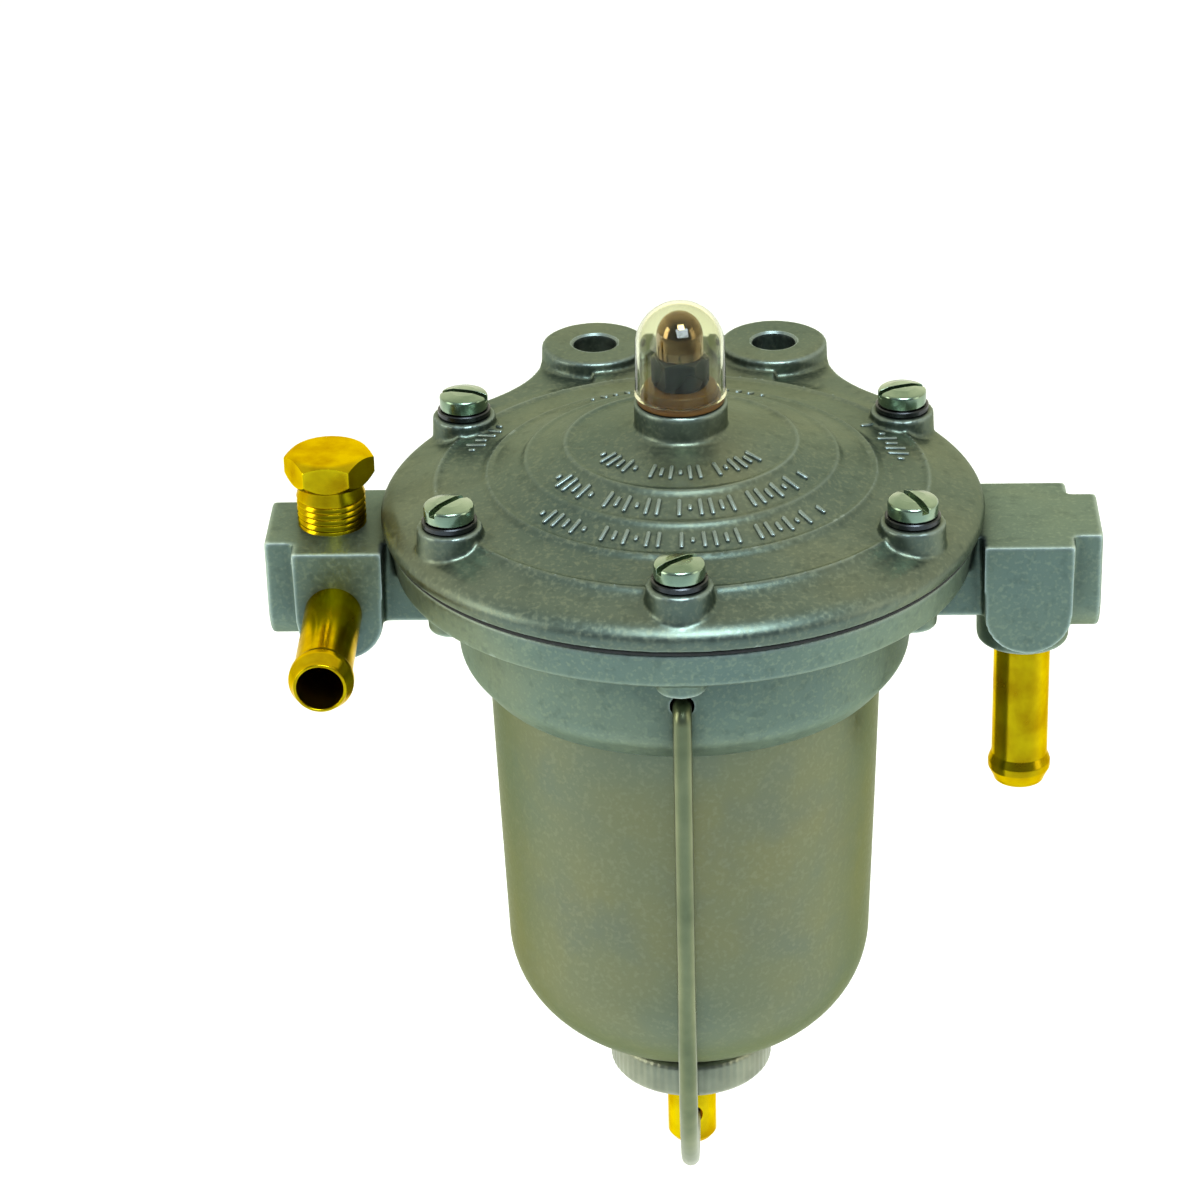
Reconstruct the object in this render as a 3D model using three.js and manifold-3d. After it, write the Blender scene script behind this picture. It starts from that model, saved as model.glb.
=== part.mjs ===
// A bowl-type line filter with a built-in diaphragm pressure regulator, in millimetres, +Z up.
// The origin is midway between the two mounting-lug holes, in the plane of the lugs' top pads.
// The pieces are drawn about the filter's own axis, with Z = 0 at the middle of the diaphragm, and the
// group at the end moves them all so that the origin is at the lugs.
import * as THREE from "three";
import { mergeVertices } from "three/addons/utils/BufferGeometryUtils.js";
import Module from "manifold-3d";

const wasm = await Module();
wasm.setup();

// ---------------------------------------------------------------- driving dimensions
const ROUND = 36; // sides of the large round castings
const SMALL = 16; // sides of the small turned pieces
const GAP = 0.05; // between flat faces that rest on each other

const COVER_R = 42.5;
const FLANGE_R = 41.3;
const DIAPHRAGM_HALF = 0.3;
const JOINT = DIAPHRAGM_HALF + GAP; // height of the cover's and the body's clamping faces from the diaphragm

const SCREW_CIRCLE_R = 36.25; // six M4 screws
const SCREW_COUNT = 6;
const SCREW_R = 2;
const SCREW_HOLE_R = 2.2;
const BOSS_TOP = 7.8;
const WASHER_THICK = 1;

const LUG_X = 13.35;
const LUG_Y = 45;
const LUG_R = 8;
const LUG_TOP = 6.9;
const LUG_UNDERSIDE = 0.95;
const LUG_HOLE_R = 3.25; // clears an M6 bolt

const ADJUSTER_BOSS_R = 6.5;
const ADJUSTER_BOSS_TOP = 17.8;
const ADJUSTER_R = 2;
const ADJUSTER_BORE_R = 2.2;
const WASHER_SHOULDER = 18.9;

const FLANGE_BOTTOM = -6;
const SKIRT_R = 32;
const SKIRT_BOTTOM = -23.6;
const SOCKET_R = 28.3; // the skirt's inside, which takes the bowl's rim
const SOCKET_TOP = -11.2;
const CHAMBER_FLOOR = -6.5;

const PORT_X = 48; // from the axis to the centre of each port block
const BLOCK_R = 6.2;
const BLOCK_BOTTOM = -17;
const BLOCK_HALF_DEPTH = 10.5;
const INLET_SEAT = -19.4;
const PASSAGE_R = 2;
const PASSAGE_Z = -8.6;
const OUTLET_X = -48.8;
const OUTLET_Z = -9.6;
const UNION_R = 4; // 8 mm hose unions
const UNION_BORE_R = 3.2;
const BARB_R = 4.5;
const SOCKET_FOR_UNION_R = 4.2;
const PLUG_X = -49.3;
const PLUG_R = 4.85; // G 1/8 thread
const PLUG_BORE_R = 5.05;
const PLUG_DEPTH = 5;

const PIVOT_Z = -13;
const WIRE_R = 1.3;
const WIRE_HOLE_R = 1.7;
const LEG_Y = 33.6;
const BAIL_BEND_R = 28;
const BAIL_BOTTOM = -98.8;
const HOOK_R = 1.9;

const BOWL_RIM = -12.9;
const BOWL_R = 27.9;
const BOWL_WALL = 2.4;
const BOWL_TAPER_END = -65.2;
const BOWL_END_R = 26.5;
const BOWL_BOTTOM = -83.2;
const PAD_R = 11;
const PAD_BOTTOM = -84.4;
const NUT_R = 12;
const NUT_BOTTOM = -90.2;
const STUD_R = 2.85;
const STUD_TOP = -86.6; // low enough for the bowl to come down 3 mm
const CLAMP_GAP = 0.3;

// ---------------------------------------------------------------- materials
const metal = (color, roughness, metalness = 1) =>
  new THREE.MeshStandardMaterial({ color, roughness, metalness });
const castAlloy = metal(0x8b8f84, 0.45);
const brass = metal(0xb8932e, 0.28);
const zinc = metal(0xb9c0a8, 0.25);
const steel = metal(0x9b9d9a, 0.3);
const chrome = metal(0xd8d8d8, 0.05);
const rubber = metal(0x151515, 0.7, 0);
const fibre = metal(0x7a4612, 0.6, 0);
const clearPlastic = new THREE.MeshStandardMaterial({
  color: 0xd9d7a0,
  roughness: 0.1,
  transparent: true,
  opacity: 0.35,
});
const paper = metal(0xd8c9a0, 0.9, 0);
const nylon = metal(0xe4e2d8, 0.5, 0);

// ---------------------------------------------------------------- solids
// A three.js geometry as a manifold-3d solid, and back.
function solid(geometry) {
  const bare = geometry.clone();
  bare.deleteAttribute("normal");
  bare.deleteAttribute("uv");
  const merged = mergeVertices(bare, 1e-4);
  return new wasm.Manifold(
    new wasm.Mesh({
      numProp: 3,
      vertProperties: merged.attributes.position.array,
      triVerts: new Uint32Array(merged.index.array),
    }),
  );
}

function geometryOf(made) {
  const mesh = made.getMesh();
  const geometry = new THREE.BufferGeometry();
  geometry.setAttribute("position", new THREE.BufferAttribute(mesh.vertProperties, 3));
  geometry.setIndex(new THREE.BufferAttribute(mesh.triVerts, 1));
  return geometry;
}

const cut = (body, ...tools) => tools.reduce((left, tool) => left.subtract(tool), body);
const join = (...bodies) => bodies.reduce((whole, body) => whole.add(body));

// A closed outline of [radius, z] points turned about the Z axis.
function turned(outline, sides = ROUND) {
  const area = outline.reduce((sum, [r, z], i) => {
    const [nextR, nextZ] = outline[(i + 1) % outline.length];
    return sum + r * nextZ - nextR * z;
  }, 0);
  const ordered = area > 0 ? [...outline] : [...outline].reverse();
  const points = [...ordered, ordered[0]].map(([r, z]) => new THREE.Vector2(r, z));
  const geometry = new THREE.LatheGeometry(points, sides);
  return solid(geometry.rotateX(Math.PI / 2));
}

// Points of an arc about [r, z], from one angle to another, in degrees.
function arc(r, z, radius, from, to, steps = 4) {
  return Array.from({ length: steps + 1 }, (_, i) => {
    const a = THREE.MathUtils.degToRad(from + ((to - from) * i) / steps);
    return [r + radius * Math.cos(a), z + radius * Math.sin(a)];
  });
}

const ring = (inner, outer, bottom, top, sides = ROUND) =>
  turned([[inner, bottom], [outer, bottom], [outer, top], [inner, top]], sides);

// A cylinder from one height to another, standing at [x, y].
function post(radius, bottom, top, x = 0, y = 0, sides = SMALL) {
  const geometry = new THREE.CylinderGeometry(radius, radius, top - bottom, sides);
  geometry.rotateX(Math.PI / 2).translate(x, y, (bottom + top) / 2);
  return solid(geometry);
}

// A cylinder that lies along X or Y between two values of that axis.
function bar(axis, radius, from, to, other, z, sides = SMALL) {
  const geometry = new THREE.CylinderGeometry(radius, radius, to - from, sides);
  if (axis === "x") geometry.rotateZ(Math.PI / 2).translate((from + to) / 2, other, z);
  else geometry.translate(other, (from + to) / 2, z);
  return solid(geometry);
}

function block(x0, x1, y0, y1, z0, z1) {
  const geometry = new THREE.BoxGeometry(x1 - x0, y1 - y0, z1 - z0);
  return solid(geometry.translate((x0 + x1) / 2, (y0 + y1) / 2, (z0 + z1) / 2));
}

// A flat plate with the given outline of [x, y] points.
function plate(outline, bottom, top) {
  const shape = new THREE.Shape(outline.map(([x, y]) => new THREE.Vector2(x, y)));
  const geometry = new THREE.ExtrudeGeometry(shape, { depth: top - bottom, bevelEnabled: false });
  return solid(geometry.translate(0, 0, bottom));
}

// A flat-topped, round-bottomed bar with its length along Y, centred on x = 0.
function roundBottomed(radius, bottom, top, y0, y1) {
  const shape = new THREE.Shape();
  shape.moveTo(-radius, top);
  shape.lineTo(-radius, bottom + radius);
  shape.absarc(0, bottom + radius, radius, Math.PI, 2 * Math.PI, false);
  shape.lineTo(radius, top);
  const geometry = new THREE.ExtrudeGeometry(shape, {
    depth: y1 - y0,
    bevelEnabled: false,
    curveSegments: 6,
  });
  return solid(geometry.rotateX(Math.PI / 2).translate(0, y1, 0));
}

// A path through stations, one straight piece from each to the next.
class Stations extends THREE.Curve {
  constructor(points) {
    super();
    this.points = points;
  }
  at(share) {
    const last = this.points.length - 1;
    return this.points[Math.min(Math.max(Math.round(share * last), 0), last)];
  }
  getPointAt(share, target = new THREE.Vector3()) {
    return target.copy(this.at(share));
  }
  getTangentAt(share, target = new THREE.Vector3()) {
    const step = 1 / (this.points.length - 1);
    return target.subVectors(this.at(share + step), this.at(share - step)).normalize();
  }
}

// A round wire of the given radius through a list of points.
function wire(points, radius, sides) {
  const section = new THREE.Shape();
  section.absarc(0, 0, radius, 0, 2 * Math.PI, false);
  const geometry = new THREE.ExtrudeGeometry(section, {
    steps: points.length - 1,
    curveSegments: sides / 2,
    extrudePath: new Stations(points),
    bevelEnabled: false,
  });
  return solid(geometry);
}

// A compression spring whose coils lie closer together at its two ends.
function spring(radius, thick, bottom, top, turns) {
  const steps = Math.round(turns * 9);
  const rise = top - bottom - 2 * thick;
  const points = Array.from({ length: steps + 1 }, (_, i) => {
    const t = i / steps;
    const a = 2 * Math.PI * turns * t;
    const lift = (THREE.MathUtils.smootherstep(t, 0, 1) + t) / 2;
    return new THREE.Vector3(radius * Math.cos(a), radius * Math.sin(a), bottom + thick + rise * lift);
  });
  return wire(points, thick, 6);
}

const screwPlaces = Array.from({ length: SCREW_COUNT }, (_, i) => {
  const a = (2 * Math.PI * i) / SCREW_COUNT - Math.PI / 2;
  return [SCREW_CIRCLE_R * Math.cos(a), SCREW_CIRCLE_R * Math.sin(a)];
});

// ---------------------------------------------------------------- castings
// The cover: a ringed dome over the spring chamber, with screw bosses and two lugs behind.
function topCover() {
  const shell = turned([
    [29, JOINT],
    [COVER_R, JOINT],
    ...arc(COVER_R - 2.6, 1.2, 2.6, 0, 75, 4),
    [35.2, 5.3],
    [34.5, 6],
    [27.9, 6.7],
    [27.3, 7.3],
    [21.7, 9.3],
    [16.2, 11.5],
    [ADJUSTER_BOSS_R + 1.5, 13.4],
    [ADJUSTER_BOSS_R, 13.9],
    [ADJUSTER_BOSS_R, ADJUSTER_BOSS_TOP],
    [ADJUSTER_BORE_R, ADJUSTER_BOSS_TOP],
    [ADJUSTER_BORE_R, 11.2],
    [8.6, 11.2],
    [9.6, 10.2],
    [20, 6.6],
    [27, 4.2],
  ]);
  const bosses = screwPlaces.map(([x, y]) => post(4.5, 2, BOSS_TOP, x, y));
  const pads = [-LUG_X, LUG_X].map((x) => post(LUG_R, LUG_UNDERSIDE, LUG_TOP, x, LUG_Y, 24));
  const reach = LUG_X + LUG_R;
  const web = plate(
    [[-reach - 4, 32], [reach + 4, 32], [reach - 0.3, LUG_Y - 2], [reach - 1, LUG_Y], [1 - reach, LUG_Y],
      [0.3 - reach, LUG_Y - 2]],
    LUG_UNDERSIDE + 0.6,
    4.6,
  );
  const bridge = block(-LUG_X, LUG_X, 33, LUG_Y + 6, LUG_UNDERSIDE + 0.6, 5.4);
  const holes = [
    ...screwPlaces.map(([x, y]) => post(SCREW_HOLE_R, -1, 9, x, y, 12)),
    ...[-LUG_X, LUG_X].map((x) => post(LUG_HOLE_R, -1, 9, x, LUG_Y, SMALL)),
  ];
  return cut(join(shell, ...bosses, ...pads, web, bridge), ...holes);
}

// One port arm, drawn on the +X side: a bar from the flange and a block with a boss outwards.
function portArm() {
  const across = roundBottomed(BLOCK_R, BLOCK_BOTTOM, -JOINT, -BLOCK_HALF_DEPTH, BLOCK_HALF_DEPTH);
  const outwards = roundBottomed(6.6, BLOCK_BOTTOM, -JOINT, -58.4, -PORT_X);
  return join(
    block(30, PORT_X, -6.5, 6.5, -13, -JOINT),
    across.translate([PORT_X, 0, 0]),
    outwards.rotate([0, 0, 90]),
  );
}

// The body: the lower half of the diaphragm joint, the skirt round the bowl's rim, and the two port arms.
function mainBody() {
  const shell = turned([
    [4.7, CHAMBER_FLOOR],
    [24, CHAMBER_FLOOR],
    [29, -3],
    [29, -JOINT],
    [FLANGE_R, -JOINT],
    [FLANGE_R - 0.7, -5.3],
    [FLANGE_R - 1.4, FLANGE_BOTTOM],
    [SKIRT_R, FLANGE_BOTTOM],
    ...arc(SKIRT_R - 3.4, SKIRT_BOTTOM + 3.4, 3.4, 0, -90, 4),
    [SOCKET_R, SKIRT_BOTTOM],
    [SOCKET_R, SOCKET_TOP],
    [8, SOCKET_TOP],
    [8, -15.6],
    [4.7, -15.6],
  ]);
  const inletBoss = post(6.7, INLET_SEAT, -JOINT - 1, PORT_X, 0, 24);
  const arms = join(portArm(), portArm().mirror([1, 0, 0]), inletBoss);
  const bosses = screwPlaces.map(([x, y]) => post(3.5, -7.9, -1, x, y));
  const passages = [
    bar("x", PASSAGE_R, 22, PORT_X, 0, PASSAGE_Z, 12),
    post(1.8, SOCKET_TOP - 1, PASSAGE_Z, 22, 0, 12),
    bar("x", PASSAGE_R, -PORT_X, -22, 0, PASSAGE_Z, 12),
    post(1.8, PASSAGE_Z, CHAMBER_FLOOR + 1, -22, 0, 12),
  ];
  const ports = [
    post(SOCKET_FOR_UNION_R, -20, PASSAGE_Z - 1.5, PORT_X, 0),
    post(2.4, PASSAGE_Z - 2, PASSAGE_Z, PORT_X, 0, 12),
    bar("y", SOCKET_FOR_UNION_R, -12, -5.1, OUTLET_X, OUTLET_Z),
    bar("y", 2.4, -6, 0, OUTLET_X, OUTLET_Z, 12),
    post(PLUG_BORE_R, -PLUG_DEPTH - 0.4, 1, PLUG_X, 0, 24),
    post(1.5, PASSAGE_Z, -PLUG_DEPTH, PLUG_X, 0, 12),
  ];
  const screwHoles = screwPlaces.map(([x, y]) => post(SCREW_HOLE_R, -8.5, 1, x, y, 12));
  const pivots = [
    bar("y", WIRE_HOLE_R, -33, -29.2, 0, PIVOT_Z, 12),
    bar("y", WIRE_HOLE_R, 29.2, 33, 0, PIVOT_Z, 12),
  ];
  const fitted = cut(arms, post(SKIRT_R - 1, -30, 1, 0, 0, ROUND));
  const whole = join(shell, ...bosses, fitted);
  return cut(whole, ...passages, ...ports, ...screwHoles, ...pivots);
}

// The bowl: a tapered cup whose bottom is part of a ball about the bail's pivot, so that the clamp nut
// slides across it as the bail swings.
function bowl() {
  const ballZ = (r, size) => PIVOT_Z - Math.sqrt(size * size - r * r);
  const corner = (r0, bottom) => {
    const size = PIVOT_Z - bottom;
    return Array.from({ length: 8 }, (_, i) => {
      const a = ((i + 1) / 8) * (Math.PI / 2);
      const r = 5 + (r0 - 5) * Math.cos(a);
      const z = BOWL_TAPER_END + (bottom - BOWL_TAPER_END) * Math.sin(a) ** 0.95;
      return [r, Math.max(z, ballZ(r, size))];
    });
  };
  const floor = BOWL_BOTTOM + BOWL_WALL + 0.4;
  const inside = corner(BOWL_END_R - BOWL_WALL, floor).reverse();
  return turned([
    [BOWL_R - BOWL_WALL, BOWL_RIM],
    [BOWL_R, BOWL_RIM],
    [BOWL_R - 0.1, -24],
    [BOWL_END_R, BOWL_TAPER_END],
    ...corner(BOWL_END_R, BOWL_BOTTOM),
    [0, BOWL_BOTTOM],
    [0, floor],
    ...inside,
    [BOWL_END_R - BOWL_WALL, BOWL_TAPER_END],
  ]);
}

// ---------------------------------------------------------------- diaphragm and adjuster
function diaphragm() {
  const disc = ring(2.3, FLANGE_R + 0.3, -DIAPHRAGM_HALF, DIAPHRAGM_HALF);
  return cut(disc, ...screwPlaces.map(([x, y]) => post(SCREW_HOLE_R, -1, 1, x, y, 12)));
}

// A plate with a turned-up rim, as the diaphragm's two backing plates are.
function dishedPlate(outer, bottom, thick, rim, bore) {
  const top = bottom + thick;
  return turned(
    [
      [bore, bottom],
      [outer - 1, bottom],
      [outer, bottom + rim],
      [outer - thick, bottom + rim],
      [outer - 1 - thick, top],
      [bore, top],
    ],
    20,
  );
}

const rivet = () =>
  turned(
    [[0, -2.4], [3.6, -2.4], [3.6, -1.6], [2.1, -1.6], [2.1, 1.55], [3.6, 1.55], [3.2, 2.3], [0, 2.3]],
    12,
  );

function upperSpringSeat() {
  return turned([[0, 8.6], [4, 8.6], [4, 7], [5, 7], [5, 8], [8, 8], [8, 9], [5.4, 9.8], [0, 9.8]], 20);
}

function adjustingScrew() {
  const shank = turned(
    [[0, 9.85], [1.2, 9.85], [ADJUSTER_R, 10.7], [ADJUSTER_R, 27.4], [1.5, 27.9], [0, 27.9]],
    12,
  );
  return cut(shank, block(-3, 3, -0.35, 0.35, 26.4, 29));
}

// The domed lock nut: a hexagon with a tall dome, bored blind for the adjusting screw.
function lockNut() {
  const bottom = 20.25;
  const hexagon = post(4.05, bottom, 24.7, 0, 0, 6);
  const dome = turned(
    [[0, 24], [3.2, 24], [3.2, 27.8], ...arc(0, 27.8, 3.2, 18, 90, 5)],
    SMALL,
  );
  return cut(join(hexagon, dome), post(ADJUSTER_BORE_R, bottom - 1, 29.2, 0, 0, 12));
}

// The sealing washer, with a shoulder that the clear cap is pushed over.
const fibreWasher = () =>
  turned(
    [
      [ADJUSTER_BORE_R + 0.1, ADJUSTER_BOSS_TOP + GAP],
      [6.1, ADJUSTER_BOSS_TOP + GAP],
      [6.1, WASHER_SHOULDER],
      [5.2, WASHER_SHOULDER],
      [5.2, 20.2],
      [ADJUSTER_BORE_R + 0.1, 20.2],
    ],
    SMALL,
  );

function adjusterCap() {
  return turned(
    [
      [5.5, WASHER_SHOULDER + GAP],
      [6.4, WASHER_SHOULDER + GAP],
      [6.35, 24],
      ...arc(0, 26.1, 6.2, 12, 90, 6),
      ...arc(0, 26.1, 5.3, 90, 12, 5),
      [5.4, 24],
    ],
    20,
  );
}

// ---------------------------------------------------------------- valve
const valveSeat = () =>
  turned([[1.5, -10.6], [3, -10.6], [4.4, -9.8], [4.4, -6.3], [3, -5.4], [1.5, -5.4]], SMALL);

const valvePoppet = () =>
  turned([[0, -12.3], [2.6, -12.3], [2.6, -11.5], [0.9, -10.9], [0.9, -2.5], [0, -2.5]], 12);

function valveRetainer() {
  const disc = ring(1, 4.5, -17.6, -16.8, SMALL);
  const openings = [0, 1, 2].map((i) => {
    const a = (2 * Math.PI * i) / 3;
    return post(0.8, -18, -16, 2.75 * Math.cos(a), 2.75 * Math.sin(a), 8);
  });
  return cut(join(disc, ring(3.9, 4.5, -17.6, -14.2, SMALL)), ...openings);
}

// ---------------------------------------------------------------- filter element
// A folded-paper ring: the outline runs out and in once for each pleat.
function filterPaper() {
  const pleats = 30;
  const outline = (inner, outer) =>
    Array.from({ length: 2 * pleats }, (_, i) => {
      const a = (Math.PI * i) / pleats;
      const r = i % 2 ? inner : outer;
      return new THREE.Vector2(r * Math.cos(a), r * Math.sin(a));
    });
  const shape = new THREE.Shape(outline(12.2, 20.4));
  shape.holes.push(new THREE.Path(outline(11, 19.2).reverse()));
  const geometry = new THREE.ExtrudeGeometry(shape, { depth: 45.6, bevelEnabled: false });
  return solid(geometry.translate(0, 0, -63.8));
}

function filterCore() {
  const tube = ring(9.2, 10.2, -63.8, -18.2, SMALL);
  const holes = [-54, -41, -28].map((z) => bar("x", 1.8, -12, 12, 0, z, 8));
  return cut(tube, ...holes);
}

const filterTopCap = () =>
  turned([[8.3, -18.1], [21.2, -18.1], [21.2, -16.4], [10.5, -16.4], [10.5, -14.6], [8.3, -14.6]], 24);

const filterBottomCap = () =>
  turned([[0, -67], [21.2, -67], [21.2, -63.9], [0, -63.9]], 24);

// ---------------------------------------------------------------- bail and clamp
// The bail: each end hooks into the skirt, and the two legs meet in a wide bend below the clamp nut.
function bailWire() {
  const bendZ = BAIL_BOTTOM + BAIL_BEND_R;
  const leg = [
    [29.6, PIVOT_Z],
    ...arc(LEG_Y - HOOK_R, PIVOT_Z - HOOK_R, HOOK_R, 90, 0, 4),
    ...arc(LEG_Y - BAIL_BEND_R, bendZ, BAIL_BEND_R, 0, -90, 8),
  ];
  const front = leg.map(([y, z]) => new THREE.Vector3(0, -y, z));
  const back = leg.map(([y, z]) => new THREE.Vector3(0, y, z)).reverse();
  return wire([...front, ...back], WIRE_R, 8);
}

// The stud that the wire passes through, threaded above for the clamp nut.
function clampStud() {
  const barrel = turned(
    [
      [0, -104.2],
      [3.1, -104.2],
      [3.65, -103.5],
      [3.65, -95],
      [STUD_R, -95],
      [STUD_R, STUD_TOP - 0.4],
      [STUD_R - 0.45, STUD_TOP],
      [0, STUD_TOP],
    ],
    SMALL,
  );
  return cut(barrel, bar("y", WIRE_HOLE_R, -5, 5, 0, BAIL_BOTTOM, 12));
}

// The pad that rides up and down the stud with the nut and bears on the bowl.
function clampPad() {
  const ball = PIVOT_Z - BOWL_BOTTOM + CLAMP_GAP;
  const dish = (r) => [r, PIVOT_Z - Math.sqrt(ball * ball - r * r)];
  const bore = STUD_R + 0.3;
  return turned([dish(bore), [bore, PAD_BOTTOM], [PAD_R, PAD_BOTTOM], dish(PAD_R), dish(7.5)], 32);
}

function clampNut() {
  const top = PAD_BOTTOM - GAP;
  const bore = STUD_R + 0.15;
  return turned(
    [
      [bore, NUT_BOTTOM],
      [NUT_R - 1, NUT_BOTTOM],
      [NUT_R, NUT_BOTTOM + 1],
      [NUT_R, top - 0.6],
      [NUT_R - 0.6, top],
      [bore, top],
    ],
    32,
  );
}

// ---------------------------------------------------------------- unions, plug and screws
// A hose union along +Z, from the seat at z = 0 to the free end with its rolled bead.
function hoseUnion(inside, outside) {
  return turned(
    [
      [UNION_BORE_R - 0.4, -inside],
      [UNION_R, -inside],
      [UNION_R, outside - 4.6],
      ...arc(UNION_R - 1.5, outside - 2.6, BARB_R - UNION_R + 1.5, -10, 45, 4),
      [UNION_R - 0.1, outside],
      [UNION_BORE_R, outside],
      [UNION_BORE_R, outside - 5],
      [UNION_BORE_R - 0.4, outside - 6],
    ],
    SMALL,
  );
}

const inletUnion = () => hoseUnion(8.4, 23).rotate([180, 0, 0]).translate([PORT_X, 0, INLET_SEAT]);

const outletUnion = () =>
  hoseUnion(5.2, 21.9).rotate([90, 0, 0]).translate([OUTLET_X, -BLOCK_HALF_DEPTH, OUTLET_Z]);

function gaugePortPlug() {
  const hexagon = post(6.35, 6.2, 10.6, 0, 0, 6).rotate([0, 0, 30]);
  const crown = turned([[0, 6], [5.7, 6], [6.5, 7], [6.5, 9.7], [5.4, 10.6], [0, 10.6]], 24);
  const shank = post(PLUG_R, -PLUG_DEPTH, 7, 0, 0, 24);
  return join(hexagon.intersect(crown), shank).translate([PLUG_X, 0, 0]);
}

function coverScrew([x, y]) {
  const underHead = BOSS_TOP + 2 * GAP + WASHER_THICK;
  const screw = turned(
    [
      [0, -7.5],
      [SCREW_R, -7.5],
      [SCREW_R, underHead],
      [3.4, underHead],
      [3.5, underHead + 1.8],
      [3, underHead + 2.4],
      [0, underHead + 2.5],
    ],
    12,
  );
  const slot = block(-5, 5, -0.5, 0.5, underHead + 1.2, underHead + 4);
  return cut(screw, slot).translate([x, y, 0]);
}

// A split spring washer, with its ends a little apart.
function springWasher([x, y]) {
  const bottom = BOSS_TOP + GAP;
  const flat = ring(2.25, 3.8, bottom, bottom + WASHER_THICK, 12);
  return cut(flat, block(1, 5, -0.25, 0.25, 0, 12)).translate([x, y, 0]);
}

// ---------------------------------------------------------------- the assembly
const filter = new THREE.Group();
filter.position.set(0, -LUG_Y, -LUG_TOP);

function add(name, made, material) {
  const mesh = new THREE.Mesh(geometryOf(made), material);
  mesh.name = name;
  filter.add(mesh);
}

add("top_cover", topCover(), castAlloy);
add("main_body", mainBody(), castAlloy);
add("diaphragm", diaphragm(), rubber);
screwPlaces.forEach((place, i) => {
  add(`spring_washer_${i + 1}`, springWasher(place), steel);
  add(`cover_screw_${i + 1}`, coverScrew(place), zinc);
});
add("fibre_washer", fibreWasher(), fibre);
add("adjusting_screw", adjustingScrew(), steel);
add("lock_nut", lockNut(), chrome);
add("adjuster_cap", adjusterCap(), clearPlastic);
add("upper_spring_seat", upperSpringSeat(), steel);
add("regulator_spring", spring(6.4, 0.55, 1.4, 7.95, 3.5), steel);
add("diaphragm_upper_plate", dishedPlate(13, DIAPHRAGM_HALF + GAP, 1, 2.4, 2.3), steel);
add("diaphragm_lower_plate", ring(2.3, 11, -1.5, -DIAPHRAGM_HALF - GAP, 20), steel);
add("diaphragm_rivet", rivet(), brass);
add("valve_seat", valveSeat(), brass);
add("valve_poppet", valvePoppet(), steel);
add("valve_spring", spring(2, 0.3, -16.7, -12.35, 4), steel);
add("valve_retainer", valveRetainer(), brass);
add("inlet_union", inletUnion(), brass);
add("outlet_union", outletUnion(), brass);
add("gauge_port_plug", gaugePortPlug(), brass);
add("bowl_gasket", ring(24.6, 28, -12.8, -11.3), rubber);
add("filter_top_cap", filterTopCap(), nylon);
add("filter_paper", filterPaper(), paper);
add("filter_core", filterCore(), nylon);
add("filter_bottom_cap", filterBottomCap(), nylon);
add("filter_spring", spring(8.6, 0.7, -79.5, -67.1, 3), steel);
add("bowl", bowl(), castAlloy);
add("bail_wire", bailWire(), steel);
add("clamp_stud", clampStud(), brass);
add("clamp_pad", clampPad(), rubber);
add("clamp_nut", clampNut(), zinc);

const part = new THREE.Group();
part.add(filter);

export default part;
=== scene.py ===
"""The look of a fuel filter with a diaphragm pressure regulator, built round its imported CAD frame.

Meshes are drawn in millimetres about the filter's own vertical axis, with z = 0 at the diaphragm, and
are moved into the frame (metres, origin at the mounting lugs) as they are made into objects.
"""
import math

import bmesh
import bpy
from mathutils import Matrix, Vector


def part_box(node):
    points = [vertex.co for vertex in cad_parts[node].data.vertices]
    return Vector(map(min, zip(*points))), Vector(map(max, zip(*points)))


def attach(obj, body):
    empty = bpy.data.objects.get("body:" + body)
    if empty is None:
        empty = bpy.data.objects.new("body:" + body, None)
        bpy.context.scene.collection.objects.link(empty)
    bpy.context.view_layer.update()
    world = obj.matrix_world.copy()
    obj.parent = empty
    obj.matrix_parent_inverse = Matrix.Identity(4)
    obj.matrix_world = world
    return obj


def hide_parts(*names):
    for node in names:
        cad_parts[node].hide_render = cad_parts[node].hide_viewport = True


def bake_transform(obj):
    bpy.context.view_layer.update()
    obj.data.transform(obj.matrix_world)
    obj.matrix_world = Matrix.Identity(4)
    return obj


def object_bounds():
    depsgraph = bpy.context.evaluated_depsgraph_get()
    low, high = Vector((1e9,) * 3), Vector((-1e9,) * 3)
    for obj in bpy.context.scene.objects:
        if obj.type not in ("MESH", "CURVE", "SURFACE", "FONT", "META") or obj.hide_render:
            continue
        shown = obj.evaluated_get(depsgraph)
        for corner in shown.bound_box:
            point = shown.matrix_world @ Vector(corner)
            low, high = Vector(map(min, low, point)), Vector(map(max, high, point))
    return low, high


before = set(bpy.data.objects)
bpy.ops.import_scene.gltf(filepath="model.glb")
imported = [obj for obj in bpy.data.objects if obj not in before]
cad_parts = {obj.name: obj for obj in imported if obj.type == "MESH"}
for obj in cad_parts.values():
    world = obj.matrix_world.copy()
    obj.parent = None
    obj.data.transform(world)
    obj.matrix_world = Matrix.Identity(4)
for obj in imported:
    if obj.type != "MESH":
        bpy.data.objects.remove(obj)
cad_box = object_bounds()

# ---------------------------------------------------------------- places, from the CAD
MM = 0.001
bowl_low, bowl_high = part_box("bowl")
disc_low, disc_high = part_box("diaphragm")
AXIS_X = (bowl_low[0] + bowl_high[0]) / 2
AXIS_Y = (bowl_low[1] + bowl_high[1]) / 2
JOINT_Z = (disc_low[2] + disc_high[2]) / 2
TO_FRAME = Matrix.Translation((AXIS_X, AXIS_Y, JOINT_Z)) @ Matrix.Scale(MM, 4)


def in_mm(node):
    """A CAD node's box in millimetres about the filter's axis."""
    low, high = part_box(node)
    back = TO_FRAME.inverted()
    return back @ Vector(low), back @ Vector(high)


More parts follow.
